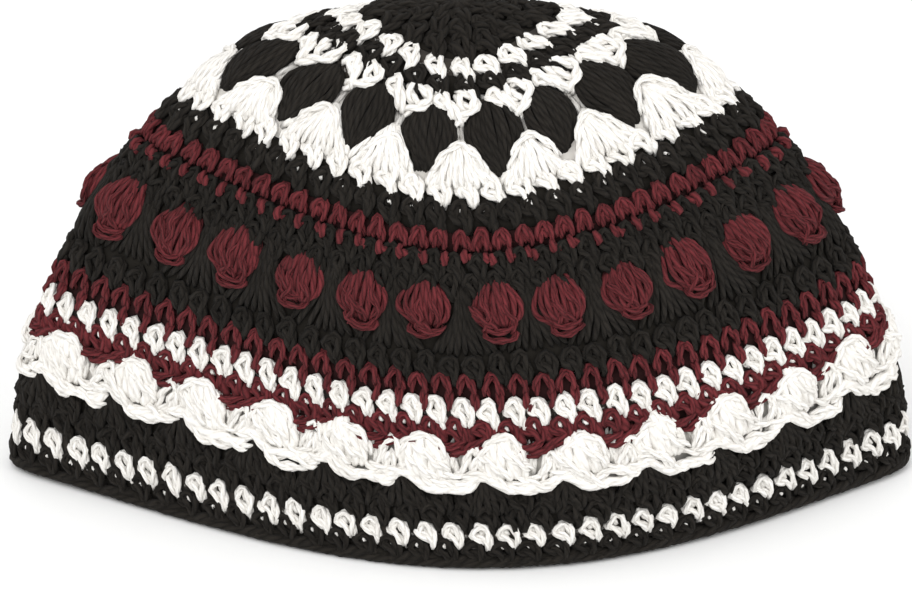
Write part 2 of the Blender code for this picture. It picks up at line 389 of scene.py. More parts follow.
    def finish(self, name: str, material: bpy.types.Material) -> bpy.types.Object:
        """Makes the collected strands an object.

        Args:
            name: the piece's name.
            material: its material.

        Returns:
            The new object.
        """
        points = np.concatenate(self.points)
        corners = np.concatenate(self.corners)
        totals = np.concatenate(self.totals)
        mesh = bpy.data.meshes.new(name)
        mesh.vertices.add(len(points))
        mesh.vertices.foreach_set("co", points.reshape(-1).astype(np.float32))
        mesh.loops.add(len(corners))
        mesh.loops.foreach_set("vertex_index", corners.astype(np.int32))
        mesh.polygons.add(len(totals))
        starts = np.concatenate([[0], np.cumsum(totals)[:-1]])
        mesh.polygons.foreach_set("loop_start", starts.astype(np.int32))
        mesh.update(calc_edges=True)
        layer = mesh.uv_layers.new(name=STRAND_MAP)
        layer.uv.foreach_set("vector", np.concatenate(self.uvs).reshape(-1).astype(np.float32))
        for label, values in ((PAINTED_SHADE, self.painted_shades), (SHADE, self.shades)):
            layer = mesh.attributes.new(label, "FLOAT", "POINT")
            layer.data.foreach_set("value", np.concatenate(values).astype(np.float32))
        mesh.shade_smooth()
        mesh.materials.append(material)
        piece = bpy.data.objects.new(name, mesh)
        bpy.context.scene.collection.objects.link(piece)
        return piece


@dataclass(frozen=True)
class Graph:
    """Adds nodes to a material's tree. A value is a number, a colour or another node's socket."""

    tree: bpy.types.NodeTree

    def feed(self, node: bpy.types.Node, inputs: dict[str | int, object]) -> None:
        """Gives a node's inputs their values.

        Args:
            node: the node.
            inputs: values by the name or place of the input.
        """
        for key, value in inputs.items():
            if isinstance(value, bpy.types.NodeSocket):
                self.tree.links.new(value, node.inputs[key])
            else:
                node.inputs[key].default_value = value

    def add(self, kind: str, inputs: dict[str | int, object], **settings: object) -> bpy.types.Node:
        """Adds a node.

        Args:
            kind: the node's type, without the words that all types start with.
            inputs: values by the name or place of the input.
            settings: the node's own properties.

        Returns:
            The new node.
        """
        node = self.tree.nodes.new("ShaderNode" + kind)
        for key, value in settings.items():
            setattr(node, key, value)
        self.feed(node, inputs)
        return node

    def math(self, operation: str, *values: object, clamp: bool = False) -> bpy.types.NodeSocket:
        """Adds one step of arithmetic."""
        inputs = dict(enumerate(values))
        return self.add("Math", inputs, operation=operation, use_clamp=clamp).outputs[0]

    def mix(self, factor: bpy.types.NodeSocket, first: object, second: object) -> bpy.types.NodeSocket:
        """Mixes two colours, where the factor is the second colour's share."""
        inputs = {"Factor": factor, "A": first, "B": second}
        return self.add("Mix", inputs, data_type="RGBA").outputs["Result"]

    def attribute(self, name: str) -> bpy.types.NodeSocket:
        """Reads one of the strands' values."""
        return self.add("Attribute", {}, attribute_name=name).outputs["Fac"]


@dataclass(frozen=True)
class YarnFinish:
    """Matt woolly yarn of a few plies: a lit colour for the ply ridges and a shaded colour for the grooves,
    painted highlight and painted shade mixed with random fibre and dye tone, and a colour of painted shade
    for the wall's middle.
    """

    slot: Slot
    lit_ridge: Colour
    shaded_groove: Colour
    painted_shade_colour: Colour
    sheen: float
    bump: float
    bump_depth: float = 0.0004
    roughness: float = 0.92
    sheen_roughness: float = 0.6
    gloss: float = 0.10
    plies: float = 3.0
    ply_pitch_mm: float = 12.0
    ply_highlight: float = 0.55
    fibre_tone: float = 0.75
    dye_tone: float = 0.55
    darkening: float = -0.40
    dye_scale: float = 150.0
    detail: float = 4.0
    painted_shade_power: float = 1.6
    fibre_height: float = 0.7
    fibre_along: float = 1.1
    fibre_slant: float = 1.35
    fibre_around: float = 22.0
    fibre_roughness: float = 0.7

    def material(self) -> bpy.types.Material:
        """Builds the yarn's material.

        Returns:
            A material that reads the strand's own map, its random shade and how much painted shade it takes.
        """
        made = bpy.data.materials.new(self.slot.value)
        made.use_nodes = True
        graph = Graph(made.node_tree)
        ply, fibre = self._grain(graph)
        place = graph.add("TexCoord", {}).outputs["Object"]
        dye = graph.add("TexNoise", {"Vector": place, "Scale": self.dye_scale, "Detail": self.detail})
        # Painted highlight on the ply ridges and painted shade in the grooves, mixed with random fibre, dye
        # and per-strand tone
        tone = graph.math("MULTIPLY_ADD", ply, self.ply_highlight, self.darkening)
        tone = graph.math("MULTIPLY_ADD", fibre, self.fibre_tone, tone)
        tone = graph.math("MULTIPLY_ADD", dye.outputs["Fac"], self.dye_tone, tone)
        tone = graph.math("MULTIPLY", tone, graph.attribute(SHADE), clamp=True)
        surface = graph.mix(tone, self.shaded_groove, self.lit_ridge)
        # Painted shade: the colour darkens towards the shade colour where a point lies in the wall's middle
        painted_shade_share = graph.math("POWER", graph.attribute(PAINTED_SHADE), self.painted_shade_power, clamp=True)
        height = graph.math("MULTIPLY_ADD", fibre, self.fibre_height, ply)
        bump = graph.add("Bump", {"Strength": self.bump, "Distance": self.bump_depth, "Height": height})
        graph.feed(made.node_tree.nodes["Principled BSDF"], {
            "Base Color": graph.mix(painted_shade_share, surface, self.painted_shade_colour),
            "Roughness": self.roughness,
            "Sheen Weight": self.sheen,
            "Sheen Roughness": self.sheen_roughness,
            "Specular IOR Level": self.gloss,
            "Normal": bump.outputs["Normal"],
        })
        return made

    def _grain(self, graph: Graph) -> tuple[bpy.types.NodeSocket, bpy.types.NodeSocket]:
        """Ridges that wind along the strand, one for each ply, and fine streaks of fibre along them.

        Args:
            graph: adds the nodes.

        Returns:
            The ridges' and the fibres' values, from 0 to 1.
        """
        strand = graph.add("UVMap", {}, uv_map=STRAND_MAP).outputs["UV"]
        along, around = graph.add("SeparateXYZ", {0: strand}).outputs[:2]
        turn = graph.math("MULTIPLY", around, self.plies * math.pi)
        phase = graph.math("MULTIPLY_ADD", along, self.plies * math.pi / self.ply_pitch_mm, turn)
        lit_ridge = graph.math("ABSOLUTE", graph.math("SINE", phase))
        across = graph.math("MULTIPLY", around, self.fibre_around)
        across = graph.math("MULTIPLY_ADD", along, self.fibre_slant, across)
        streak = graph.add("CombineXYZ", {0: graph.math("MULTIPLY", along, self.fibre_along), 1: across})
        noise = graph.add("TexNoise", {"Vector": streak.outputs[0], "Scale": 1.0,
                                       "Detail": self.detail, "Roughness": self.fibre_roughness})
        return lit_ridge, noise.outputs["Fac"]


# Each yarn: lit colour for ridges, shaded colour for grooves, painted shade colour for the wall's middle,
# then sheen and bump
BLACK = YarnFinish(Slot.BLACK, (0.0225, 0.0192, 0.0158, 1.0), (0.0050, 0.0043, 0.0036, 1.0),
                   (0.0165, 0.0144, 0.0117, 1.0), 0.02, 1.0)
WHITE = YarnFinish(Slot.WHITE, (0.945, 0.925, 0.89, 1.0), (0.73, 0.70, 0.65, 1.0),
                   (0.055, 0.047, 0.040, 1.0), 0.08, 0.7)
MAROON = YarnFinish(Slot.MAROON, (0.170, 0.029, 0.0335, 1.0), (0.038, 0.009, 0.010, 1.0),
                    (0.026, 0.009, 0.009, 1.0), 0.02, 1.0)


# Strands of a short stitch: an arch whose right leg runs on into a pointed tail, and a bar from
# the left foot into the same tail. Across is in stitches, up in rows, out in millimetres.
ARCH: Path = (
    (0.02, -0.36, -2.6), (-0.17, -0.31, -1.9), (-0.26, -0.12, -1.4), (-0.22, 0.13, -1.2),
    (-0.10, 0.32, -1.3), (0.05, 0.36, -1.4), (0.18, 0.24, -1.2), (0.27, -0.02, -0.9),
    (0.32, -0.30, -0.8), (0.34, -0.58, -1.1), (0.33, -0.80, -1.8), (0.32, -0.98, -2.9),
)
BAR: Path = (
    (-0.29, 0.02, -2.4), (-0.27, -0.16, -1.4), (-0.12, -0.24, -0.9), (0.05, -0.36, -0.8),
    (0.19, -0.58, -1.1), (0.27, -0.78, -1.8), (0.30, -0.98, -2.9),
)
SHORT_STITCH: tuple[Path, ...] = (ARCH, BAR)

# The same stitch with slimmer, more upright legs that stay apart
OPEN_ARCH: Path = (
    (-0.20, -0.66, -2.6), (-0.27, -0.40, -1.3), (-0.26, -0.06, -0.8), (-0.18, 0.24, -0.8),
    (-0.06, 0.42, -1.2), (0.08, 0.40, -1.1), (0.18, 0.18, -0.7), (0.26, -0.12, -0.7),
    (0.31, -0.42, -1.1), (0.33, -0.66, -2.6),
)
# Strands that fill a stitch, hang from it or join it to the next
INNER_ARCH: Path = (
    (-0.10, -0.56, -2.6), (-0.13, -0.28, -1.6), (-0.06, 0.08, -1.2), (0.03, 0.12, -1.2),
    (0.09, -0.18, -1.2), (0.14, -0.50, -2.6),
)
DROP: Path = (
    (0.29, -0.42, -2.6), (0.30, -0.62, -1.2), (0.33, -0.92, -0.5), (0.33, -1.20, -0.8),
    (0.31, -1.44, -2.9),
)
DOT: Path = (
    (0.24, -0.76, -2.8), (0.27, -0.86, -1.0), (0.33, -1.00, -0.2), (0.38, -1.14, -0.7),
    (0.36, -1.28, -2.8),
)
SPECK: Path = (
    (-0.04, 0.16, -2.8), (-0.01, 0.08, -1.3), (0.05, -0.04, -1.2), (0.08, -0.12, -2.8),
)
# A strand laid in a stitch's hole, low enough that painted shade greys it
HOLLOW: Path = (
    (-0.04, 0.24, -3.0), (-0.02, 0.10, -1.9), (0.06, -0.10, -1.8), (0.10, -0.24, -3.0),
)
FILL: Path = (
    (-0.10, 0.30, -2.8), (-0.04, 0.16, -1.7), (0.02, -0.20, -1.5), (0.10, -0.60, -1.6),
    (0.16, -0.80, -2.8),
)
SLANT: Path = (
    (-0.62, -0.36, -2.4), (-0.46, -0.40, -1.0), (-0.10, -0.20, -0.2), (0.30, 0.08, -0.3),
    (0.56, 0.30, -1.1), (0.66, 0.34, -2.4),
)

# Deep strands that show in the gaps beside a fan's point and beside a shell, greyed there by painted shade
FAN_POSTS: tuple[Path, ...] = (
    ((-0.09, 0.86, -3.0), (-0.07, 0.66, -2.1), (-0.05, 0.44, -2.0), (-0.04, 0.26, -2.8)),
    ((0.05, 0.86, -3.0), (0.07, 0.64, -2.2), (0.05, 0.44, -2.1), (0.04, 0.26, -2.8)),
)
SHELL_POSTS: tuple[Path, ...] = (
    ((0.30, 0.34, -3.0), (0.33, 0.10, -1.9), (0.36, -0.18, -1.6), (0.38, -0.40, -2.8)),
    ((0.43, 0.32, -3.0), (0.42, 0.10, -2.0), (0.44, -0.18, -1.7), (0.46, -0.40, -2.8)),
)

# The pair of a white V: a leaf on the left and a loop on the right that meet in a thick point
PAIR: tuple[Path, ...] = (
    ((-0.40, 0.00, -2.2), (-0.45, 0.26, -1.0), (-0.38, 0.56, -0.7), (-0.27, 0.42, -0.4),
     (-0.17, 0.02, -0.1), (-0.07, -0.40, 0.0), (0.00, -0.66, -0.7), (0.03, -0.88, -2.6)),
    ((-0.46, 0.14, -2.0), (-0.34, 0.10, -0.8), (-0.23, -0.06, -0.4), (-0.12, -0.40, -0.5),
     (-0.03, -0.72, -2.2)),
    ((-0.04, 0.72, -2.2), (-0.01, 0.44, -0.7), (0.04, 0.10, -0.5), (0.13, -0.12, -0.8),
     (0.22, -0.18, -2.2)),
    ((0.00, 0.58, -2.0), (0.11, 0.64, -0.8), (0.24, 0.52, -0.4), (0.34, 0.20, -0.2),
     (0.34, -0.04, 0.0), (0.27, -0.27, 0.1), (0.14, -0.46, 0.1), (0.03, -0.62, -0.3),
     (-0.03, -0.80, -1.2), (-0.05, -0.96, -2.6)),
)

# The inner side of a row of stitches, and the yarn that several rounds share
BACK_YARN = Yarn(1.0, 8, 4)
BACK_BAR_YARN = Yarn(0.9, 6, 4)
GROUND_YARN = Yarn(1.5, 10, 4, 2)
HOLLOW_YARN = Yarn(1.3, 5, 4)
BACK: Path = (
    (-0.46, -0.30, -2.6), (-0.30, -0.12, -3.7), (-0.10, 0.28, -3.8), (0.10, 0.30, -3.8),
    (0.30, -0.10, -3.9), (0.46, -0.32, -3.3), (0.62, -0.36, -2.6),
)
BACK_BAR: Path = (
    (-0.55, -0.42, -2.9), (-0.25, -0.36, -3.7), (0.10, -0.46, -4.0), (0.40, -0.38, -3.6),
    (0.62, -0.44, -2.9),
)

# A bundle's outer strands lie this share lower than its middle one, wherever it stands above the flat height
ROUNDING = 0.5
FLAT_MM = -1.8


@dataclass(frozen=True)
class Station:
    """Where a bundle passes: half its width, its height, how far out, its middle and its sides' sag."""

    spread: float
    up: float
    out: float
    middle: float = 0.0
    sag: float = 0.0


@dataclass(frozen=True)
class Layer:
    """A layer of a bundle: its strands, and how much smaller and deeper it is than the outer layer."""

    strands: int
    yarn: Yarn
    width: float = 1.0
    height: float = 1.0
    sunk_mm: float = 0.0

    def bundle(self, stations: tuple[Station, ...]) -> np.ndarray:
        """Strands that spread and gather together.

        Args:
            stations: where the bundle passes.

        Returns:
            The strands, as strands by points by across, up and out.
        """
        made = []
        for index in range(self.strands):
            side = 2 * index / (self.strands - 1) - 1
            path = tuple(
                (at.middle + at.spread * side, at.up - at.sag * side * side,
                 at.out - ROUNDING * side * side * max(0.0, at.out - FLAT_MM))
                for at in stations
            )
            made.append(smooth_path(path, self.yarn.samples))
        return np.stack(made) * (self.width, self.height, 1.0) - (0.0, 0.0, self.sunk_mm)


@dataclass(frozen=True)
class Wave:
    """A round that rises and dips: repeats around, height in shares, and where it is lowest."""

    repeats: int
    height: float
    lowest: float

    def drop(self, turn: np.ndarray) -> np.ndarray:
        """How much further down the round lies, in shares of the way down."""
        return self.height * 0.5 * (1 + np.cos(2 * math.pi * (turn * self.repeats - self.lowest)))


@dataclass(frozen=True)
class Row:
    """A row of stitches: how many, where its middle lies, its height and shift, and which are worked."""

    count: int
    share: float
    height: float
    phase: float = 0.0
    wave: Wave | None = None
    only: tuple[int, ...] = ()


@dataclass(frozen=True)
class Filling:
    """The middle of a wall, a sheet darkened with painted shade: how much painted shade it takes, and where
    its outer side lies.
    """

    depth: float
    outer_mm: float


@dataclass
class Worker:
    """Works strands over the fabric into one piece's mesh."""

    fabric: Fabric
    seed: int
    mesh: StrandMesh = field(default_factory=StrandMesh)
    uneven: float = 0.035
    bends: int = 3
    bend: float = 0.5
    bend_out_mm: float = 4.0
    painted_shade_centre_mm: float = 2.5
    core_inner_mm: float = -2.9
    core_turns: int = 120
    core_rows: int = 60

    def __post_init__(self) -> None:
        """Starts the piece's own run of small differences."""
        self.chance = np.random.default_rng(self.seed)

    def work(self, row: Row, yarn: Yarn, *paths: Path) -> None:
        """Works strands into the stitches of a row, one path after another."""
        for path in paths:
            self.lay(row, yarn, smooth_path(path, yarn.samples)[None])

    def gather(self, row: Row, stations: tuple[Station, ...], *layers: Layer) -> None:
        """Works a bundle into the stitches of a row, one layer after another."""
        for layer in layers:
            self.lay(row, layer.yarn, layer.bundle(stations))

    def lay(self, row: Row, yarn: Yarn, strands: np.ndarray) -> None:
        """Lays the same strands into the stitches of a row, each a little different.

        Args:
            row: the row.
            yarn: how the strands are made.
            strands: strands by points by across, up and out.
        """
        places = np.array(row.only or range(row.count))
        made = len(places) * len(strands)
        points = np.repeat(strands[None], len(places), axis=0)
        leaning, size = self.chance.normal(0.0, self.uneven, (2, len(places), 1, 1, 2))
        sway = self.chance.normal(0.0, self.uneven * self.bend, (made, self.bends + 1, 3))
        spread = np.linspace(0.0, self.bends, points.shape[2])
        low = np.minimum(spread.astype(int), self.bends - 1)
        part = (spread - low)[None, :, None]
        drift = (sway[:, low] * (1 - part) + sway[:, low + 1] * part).reshape(points.shape)
        flat = points[..., :2] * (1 + size) + leaning + drift[..., :2]
        out = points[..., 2] + drift[..., 2] * self.bend_out_mm
        turn = (places[:, None, None] + row.phase + flat[..., 0]) / row.count
        down = row.share - flat[..., 1] * row.height
        if row.wave:
            down = down + row.wave.drop(turn)
        lines = self.fabric.place(turn, down, out * MM).reshape(made, -1, 3)
        # Painted shade: a point darkens the nearer it lies to the wall's middle, 2.5 mm under the face
        depth = np.clip(1 - np.abs(out + self.painted_shade_centre_mm), 0.0, 1.0).reshape(made, -1)
        self.mesh.add_yarn(lines, depth, yarn)

    def back(self, *rows: Row) -> None:
        """Works the inner side of rows of short stitches.

        Args:
            rows: the rows.
        """
        for row in rows:
            self.work(row, BACK_YARN, BACK)
            self.work(row, BACK_BAR_YARN, BACK_BAR)

    def core(self, top: float, bottom: float, filling: Filling) -> None:
        """Fills the middle of the wall between two edges, where strands cross out of sight, with a sheet
        darkened by painted shade.

        Args:
            top: upper edge as a share of the way down.
            bottom: lower edge.
            filling: its painted shade and outer side.
        """
        rows = max(2, round((bottom - top) * self.core_rows))
        down = np.linspace(top, bottom, rows)
        shares = np.concatenate([down, down[::-1]])
        outs = np.concatenate([np.full(rows, filling.outer_mm), np.full(rows, self.core_inner_mm)]) * MM
        turn, share = np.meshgrid(np.arange(self.core_turns) / self.core_turns, shares, indexing="ij")
        grid = self.fabric.place(turn, share, np.broadcast_to(outs, turn.shape))
        self.mesh.add_sheet(grid, filling.depth)


@dataclass
class Piece:
    """One named piece of the cap: its yarn, the node it stands for, and how far its filling reaches."""

    name: str
    finish: YarnFinish
    node: str
    top: float
    bottom: float
    worker: Worker = field(init=False)
    # A dark sheet of full painted shade in the wall's middle
    filling: Filling = field(default=Filling(1.0, -2.4), init=False)

    def make(self, fabric: Fabric, material: bpy.types.Material) -> bpy.types.Object:
        """Builds the piece, gives it its body and its slot's material, and hides the node it stands for.

        Args:
            fabric: the cap's surface.
            material: the yarn's material.

        Returns:
            The finished piece.
        """
        self.worker = Worker(fabric, seed=sum(map(ord, self.name)))
        self.stitch()
        if self.bottom > self.top:
            self.worker.core(self.top, self.bottom, self.filling)
        piece = self.worker.mesh.finish(self.name, material)
        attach(piece, BODY)
        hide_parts(self.node)
        return piece

    def stitch(self) -> None:
        """Works the piece's stitches."""
        raise NotImplementedError


@dataclass
class CrownDisc(Piece):
    """The black disc of three rounds in the middle of the crown."""

    yarn: Yarn = Yarn(1.55, 13, 5, 2)
    rows: tuple[Row, ...] = (
        Row(6, 0.024, 0.028),
        Row(11, 0.054, 0.032),
        Row(16, 0.087, 0.035),
    )
    start: Row = Row(5, 0.008, 0.020)
    start_yarn: Yarn = Yarn(1.2, 13, 6)

    def stitch(self) -> None:
        """Works the three rounds on both sides and the ring they start from."""
        for row in self.rows:
            self.worker.work(row, self.yarn, *SHORT_STITCH)
            self.worker.back(row)
        self.worker.work(self.start, self.start_yarn, OPEN_ARCH)


@dataclass(frozen=True)
class Extra:
    """A strand that shows beside a round's own stitches: its row, way, half its thickness and plies."""

    row: Row
    path: Path
    radius_mm: float
    plies: int = 1

    def work(self, worker: Worker) -> None:
        """Works the strand into its row."""
        worker.work(self.row, Yarn(self.radius_mm, samples=7, plies=self.plies), self.path)


@dataclass
class ShortRound(Piece):
    """A round of short stitches, with what else shows in it."""

    row: Row
    radius_mm: float
    paths: tuple[Path, ...] = SHORT_STITCH
    extras: tuple[Extra, ...] = ()

    def stitch(self) -> None:
        """Works the stitches, the extra strands and the inner side."""
        self.worker.work(self.row, Yarn(self.radius_mm, samples=12, plies=2), *self.paths)
        for extra in self.extras:
            extra.work(self.worker)
        self.worker.back(self.row)


@dataclass
class PairRound(Piece):
    """The round of white stitches worked in pairs, a V between each two puffs."""

    row: Row = Row(16, 0.196, 0.035)
    inside: Row = Row(38, 0.190, 0.040)
    yarn: Yarn = Yarn(1.5, 13, 5, 2)

    def stitch(self) -> None:
        """Works the pairs and the inner side."""
        self.worker.work(self.row, self.yarn, *PAIR)
        self.worker.back(self.inside)


@dataclass
class PuffRound(Piece):
    """The round of black puffs, round above and pointed below."""

    row: Row = Row(16, 0.256, 0.100, 0.5)
    stations: tuple[Station, ...] = (
        Station(0.14, 0.60, -2.4, sag=0.05), Station(0.29, 0.53, -0.7, sag=0.10),
        Station(0.38, 0.30, 0.8, sag=0.12), Station(0.38, 0.05, 1.1, sag=0.06), Station(0.29, -0.20, 0.7),
        Station(0.17, -0.37, 0.0), Station(0.07, -0.49, -1.0), Station(0.05, -0.58, -2.4),
    )
    outer: Layer = Layer(12, Yarn(0.85, 14))
    inner: Layer = Layer(8, Yarn(1.1, 10, 4), 0.85, 0.92, 0.9)
    inside: tuple[Row, ...] = (Row(48, 0.232, 0.040), Row(48, 0.268, 0.040))

    def stitch(self) -> None:
        """Works the puffs in two layers, and the inner side."""
        self.worker.gather(self.row, self.stations, self.outer, self.inner)
        self.worker.back(*self.inside)


@dataclass
class FanRound(Piece):
    """The round of white fans, each rounded above, over a row of three stitches to a fan."""

    # Its sheet in the wall's middle takes less painted shade
    filling: Filling = field(default=Filling(0.40, -2.2), init=False)
    row: Row = Row(16, 0.303, 0.100)
    foot: Row = Row(48, 0.336, 0.034, 0.17)
    stations: tuple[Station, ...] = (
        Station(0.04, 0.44, -2.0), Station(0.10, 0.36, -0.4, sag=0.03), Station(0.19, 0.24, 0.7, sag=0.06),
        Station(0.26, 0.11, 1.1, sag=0.07), Station(0.31, -0.02, 1.1, sag=0.06),
        Station(0.36, -0.15, 0.7, sag=0.03), Station(0.40, -0.26, -0.2), Station(0.42, -0.36, -2.0),
    )
    edge: Path = (
        (-0.35, -0.10, -0.6), (-0.30, 0.05, 0.4), (-0.21, 0.22, 0.8), (-0.10, 0.34, 0.7),
        (0.02, 0.39, 0.6), (0.13, 0.33, 0.8), (0.23, 0.20, 0.9), (0.31, 0.04, 0.5),
        (0.35, -0.12, -0.6),
    )
    extras: tuple[Extra, ...] = ()
    outer: Layer = Layer(10, Yarn(0.85, 13))
    inner: Layer = Layer(8, Yarn(1.25, 10, 4), 1.05, 1.0, 0.9)
    edge_yarn: Yarn = Yarn(1.1, 14, 5, 2)
    post_yarn: Yarn = Yarn(1.2, 7, 5, 2)
    foot_yarn: Yarn = Yarn(1.4, 12, 5, 2)
    inside: tuple[Row, ...] = (Row(48, 0.303, 0.040), Row(48, 0.335, 0.040))

    def stitch(self) -> None:
        """Works the fans, the stitches at their foot and the inner side."""
        self.worker.gather(self.row, self.stations, self.outer, self.inner)
        self.worker.work(self.row, self.edge_yarn, self.edge)
        self.worker.work(self.row, self.post_yarn, *FAN_POSTS)
        self.worker.work(self.foot, self.foot_yarn, *SHORT_STITCH)
        for extra in (Extra(self.foot, SPECK, 1.0), *self.extras):
            extra.work(self.worker)
        self.worker.back(*self.inside)


@dataclass
class BobbleGround(Piece):
    """The black band: two rows of short stitches, tall stitches between the bobbles, and a row below."""

    upper: Row = Row(70, 0.460, 0.038, -0.25)
    middle: Row = Row(70, 0.494, 0.038, -0.5)
    lower: Row = Row(75, 0.633, 0.040, 0.53)
    fans: Row = Row(BOBBLES, 0.566, 0.080)
    stations: tuple[Station, ...] = (
        Station(0.06, 0.92, -2.2), Station(0.10, 0.70, -1.2), Station(0.14, 0.30, -0.8),
        Station(0.26, -0.10, -0.6), Station(0.42, -0.44, -0.9), Station(0.50, -0.66, -2.2),
    )
    layer: Layer = Layer(9, Yarn(0.95, 11))
    inside: tuple[Row, ...] = (Row(75, 0.500, 0.045), Row(75, 0.540, 0.045), Row(75, 0.580, 0.045))

    def stitch(self) -> None:
        """Works the three rows, the tall stitches between the bobbles and the inner side."""
        for row in (self.upper, self.middle, self.lower):
            self.worker.work(row, GROUND_YARN, *SHORT_STITCH)
            self.worker.work(row, HOLLOW_YARN, HOLLOW)
        self.worker.back(self.upper, self.lower)
        self.worker.gather(self.fans, self.stations, self.layer)
        self.worker.back(*self.inside)


@dataclass
class Bobble(Piece):
    """One maroon bobble: strands that fan out from the top, gather into a looped foot and are crossed."""

    row: Row
    stations: tuple[Station, ...] = (
        Station(0.14, 0.50, -2.2, sag=0.04), Station(0.25, 0.42, 0.0, sag=0.10),
        Station(0.335, 0.25, 1.8, sag=0.13), Station(0.345, 0.06, 2.3, sag=0.08),
        Station(0.30, -0.10, 1.8, 0.01, 0.03), Station(0.19, -0.23, 0.8, 0.03),
        Station(0.12, -0.36, -1.4, 0.04),
    )
    foot: tuple[Path, ...] = (
        ((-0.13, -0.24, -1.4), (-0.17, -0.34, 0.4), (-0.10, -0.42, 1.0), (0.06, -0.45, 1.2),
         (0.19, -0.42, 0.8), (0.24, -0.33, 0.1), (0.18, -0.24, -1.6)),
        ((-0.14, -0.20, -0.4), (-0.11, -0.29, 1.3), (0.05, -0.35, 1.8), (0.20, -0.32, 1.2),
         (0.24, -0.22, -0.4)),
    )
    crossing: tuple[Path, ...] = (
        ((-0.30, 0.14, 0.6), (-0.20, 0.04, 2.3), (-0.08, -0.10, 2.7), (0.04, -0.24, 1.8),
         (0.08, -0.34, 0.4)),
        ((-0.08, 0.30, 1.2), (-0.10, 0.12, 2.8), (-0.02, -0.04, 3.0), (-0.08, -0.20, 2.0),
         (-0.12, -0.32, 0.4)),
        ((0.10, 0.32, 0.8), (0.16, 0.12, 2.6), (0.24, -0.04, 2.4), (0.26, -0.16, 1.4),
         (0.19, -0.32, 0.4)),
    )
    outer: Layer = Layer(8, Yarn(0.85, 14, 6))
    inner: Layer = Layer(6, Yarn(1.35, 9, 4), 0.85, 0.92, 1.2)
    yarn: Yarn = Yarn(0.95, 11, 5, 2)

    def stitch(self) -> None:
        """Works the bobble's strands in two layers, its foot and the strands that cross it."""
        self.worker.gather(self.row, self.stations, self.outer, self.inner)
        self.worker.work(self.row, self.yarn, *self.foot, *self.crossing)


@dataclass
class ShellRound(Piece):
    """The round of white shells over a wavy chain."""

    # Its sheet in the wall's middle takes less painted shade
    filling: Filling = field(default=Filling(0.5, -2.2), init=False)
    row: Row = Row(25, 0.800, 0.100, 0.53)
    stations: tuple[Station, ...] = (
        Station(0.12, 0.30, -2.8, -0.02, 0.06), Station(0.17, 0.38, -0.9, -0.02, 0.12),
        Station(0.21, 0.35, 0.5, -0.01, 0.15), Station(0.26, 0.20, 1.2, 0.00, 0.12),
        Station(0.27, 0.02, 1.2, 0.01, 0.06), Station(0.27, -0.14, 0.8, 0.02),
        Station(0.25, -0.26, 0.0, 0.03), Station(0.23, -0.36, -2.0, 0.03),
    )
    legs: tuple[Path, ...] = (
        ((0.44, -0.44, -2.0), (0.46, -0.22, -0.6), (0.52, 0.04, -0.1), (0.60, 0.20, -0.3),
         (0.68, 0.12, 0.1), (0.72, -0.08, 0.0), (0.71, -0.30, -1.8)),
        ((0.50, -0.40, -2.0), (0.55, -0.12, 0.1), (0.61, 0.04, 0.2), (0.66, -0.12, 0.1),
         (0.65, -0.34, -1.8)),
    )
    chain: Path = (
        (-0.52, -0.36, -0.5), (-0.38, -0.30, -0.1), (-0.24, -0.22, 0.2), (-0.10, -0.31, 0.4),
        (0.04, -0.44, 0.4), (0.16, -0.46, 0.3), (0.30, -0.43, 0.3), (0.44, -0.46, 0.2),
        (0.56, -0.43, 0.0), (0.66, -0.32, -0.3),
    )
    crossing: tuple[Path, ...] = (
        ((-0.30, 0.14, -1.0), (-0.22, 0.04, 1.0), (-0.08, -0.08, 1.8), (0.06, -0.24, 1.5),
         (0.12, -0.36, -1.0)),
        ((-0.20, 0.30, -0.6), (-0.08, 0.24, 1.2), (0.06, 0.12, 1.9), (0.20, -0.02, 1.6),
         (0.32, -0.14, -0.6)),
        ((0.20, -0.20, -1.8), (0.30, -0.27, -0.2), (0.42, -0.30, -0.2), (0.52, -0.26, -0.6),
         (0.58, -0.20, -2.0)),
    )
    edge: Path = (
        (-0.26, -0.06, -0.6), (-0.27, 0.10, 0.1), (-0.20, 0.27, 0.7), (-0.06, 0.39, 0.9),
        (0.09, 0.39, 0.8), (0.20, 0.28, 0.6), (0.27, 0.10, 0.1), (0.28, -0.06, -0.6),
    )
    outer: Layer = Layer(7, Yarn(1.3, 14, 6))
    inner: Layer = Layer(5, Yarn(1.35, 10, 4), 0.92, 0.95, 0.8)
    leg_yarn: Yarn = Yarn(1.25, 11, 5, 2)
    post_yarn: Yarn = Yarn(1.3, 7, 5, 2)
    edge_yarn: Yarn = Yarn(1.25, 14, 5, 2)
    chain_yarn: Yarn = Yarn(1.45, 16, 5)
    twisted_yarn: Yarn = Yarn(1.3, 22, 5, 2)
    twist: float = 0.060
    twist_out_mm: float = 0.5
    half_twists: int = 3
    inside: tuple[Row, ...] = (Row(75, 0.785, 0.045), Row(75, 0.825, 0.045))

    def stitch(self) -> None:
        """Works the shells, the legs between them, the twisted chain and the inner side."""
        self.worker.gather(self.row, self.stations, self.outer, self.inner)
        self.worker.work(self.row, self.leg_yarn, *self.legs, *self.crossing)
        self.worker.work(self.row, self.post_yarn, *SHELL_POSTS)
        self.worker.work(self.row, self.edge_yarn, self.edge)
        self.worker.work(self.row, self.chain_yarn, self.chain)
        chain = smooth_path(self.chain, self.twisted_yarn.samples)
        angle = np.linspace(0.0, self.half_twists * math.pi, len(chain))
        for side in (-1, 1):
            shift = np.column_stack([0 * angle, side * self.twist * np.cos(angle),
                                     side * self.twist_out_mm * np.sin(angle)])
            self.worker.lay(self.row, self.twisted_yarn, (chain + shift)[None])
        self.worker.back(*self.inside)


